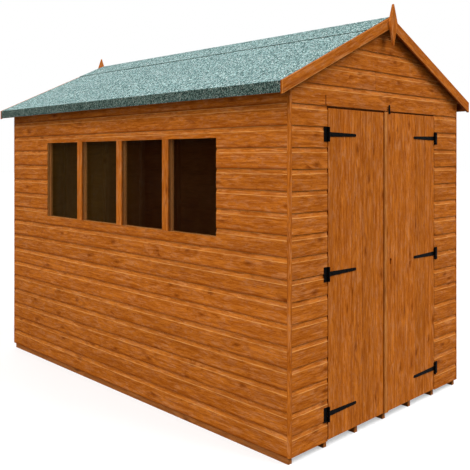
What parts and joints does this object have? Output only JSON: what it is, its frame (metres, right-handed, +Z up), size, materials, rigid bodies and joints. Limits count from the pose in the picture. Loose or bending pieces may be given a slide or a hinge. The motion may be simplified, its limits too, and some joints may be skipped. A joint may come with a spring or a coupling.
{
  "type": "timber workshop shed",
  "caption": "Apex-roofed timber workshop shed with shiplap walls, a joisted floor, a row of fixed side windows, felted roof with bargeboards and finials, and hinged double doors.",
  "frame": {"origin": "middle of the shed's footprint, on the ground under the joists", "axes": "+Z up, +Y from the door end to the back, -X towards the window wall"},
  "size_m": [1.964, 3.135, 2.4912],
  "materials": {
    "stained_timber": "orange-brown stained softwood, satin",
    "framing_timber": "sawn softwood with a thin stain",
    "roof_felt": "green mineral roofing felt",
    "black_iron": "black japanned steel",
    "glass": "clear horticultural glass"
  },
  "bodies": {
    "shed": {"floor_joists": "framing_timber", "floor_deck": "framing_timber", "window_wall_lower": "stained_timber", "window_wall_upper": "stained_timber", "window_wall_ends": "stained_timber", "window_wall_studs": "framing_timber", "window_wall_rails": "framing_timber", "window_cover_strips": "stained_timber", "window_panes": "glass", "window_beads": "framing_timber", "right_wall": "stained_timber", "right_wall_studs": "framing_timber", "right_wall_rails": "framing_timber", "back_wall": "stained_timber", "back_wall_studs": "framing_timber", "back_wall_rails": "framing_timber", "front_wall_left": "stained_timber", "front_wall_right": "stained_timber", "front_gable": "stained_timber", "front_wall_studs": "framing_timber", "front_wall_rails": "framing_timber", "door_stops": "framing_timber", "corner_beads": "stained_timber", "left_roof": "framing_timber", "right_roof": "framing_timber", "purlins": "framing_timber", "eaves_boards": "framing_timber", "left_felt": "roof_felt", "right_felt": "roof_felt", "ridge_felt": "roof_felt", "left_bargeboards": "stained_timber", "right_bargeboards": "stained_timber", "finials": "stained_timber", "hinge_plates": "black_iron"},
    "left_leaf": {"left_door": "stained_timber", "left_door_ledges": "framing_timber", "left_door_braces": "framing_timber", "left_hinge_straps": "black_iron"},
    "right_leaf": {"right_door": "stained_timber", "right_door_ledges": "framing_timber", "right_door_braces": "framing_timber", "right_hinge_straps": "black_iron", "door_cover_strip": "stained_timber", "right_door_fittings": "black_iron"},
    "button": {"turn_button": "black_iron"}
  },
  "joints": [
    {"name": "left_door_hinge", "type": "hinge", "parent": "shed", "child": "left_leaf", "pos_m": [-0.569, -1.5195, 0.944], "axis": [0, 0, -1], "range_deg": [0, 165]},
    {"name": "right_door_hinge", "type": "hinge", "parent": "shed", "child": "right_leaf", "pos_m": [0.569, -1.5195, 0.944], "axis": [0, 0, 1], "range_deg": [0, 165]},
    {"name": "turn_button_pivot", "type": "hinge", "parent": "right_leaf", "child": "button", "pos_m": [0.023, -1.5125, 1.843], "axis": [0, 1, 0], "range_deg": [0, 90]}
  ]
}
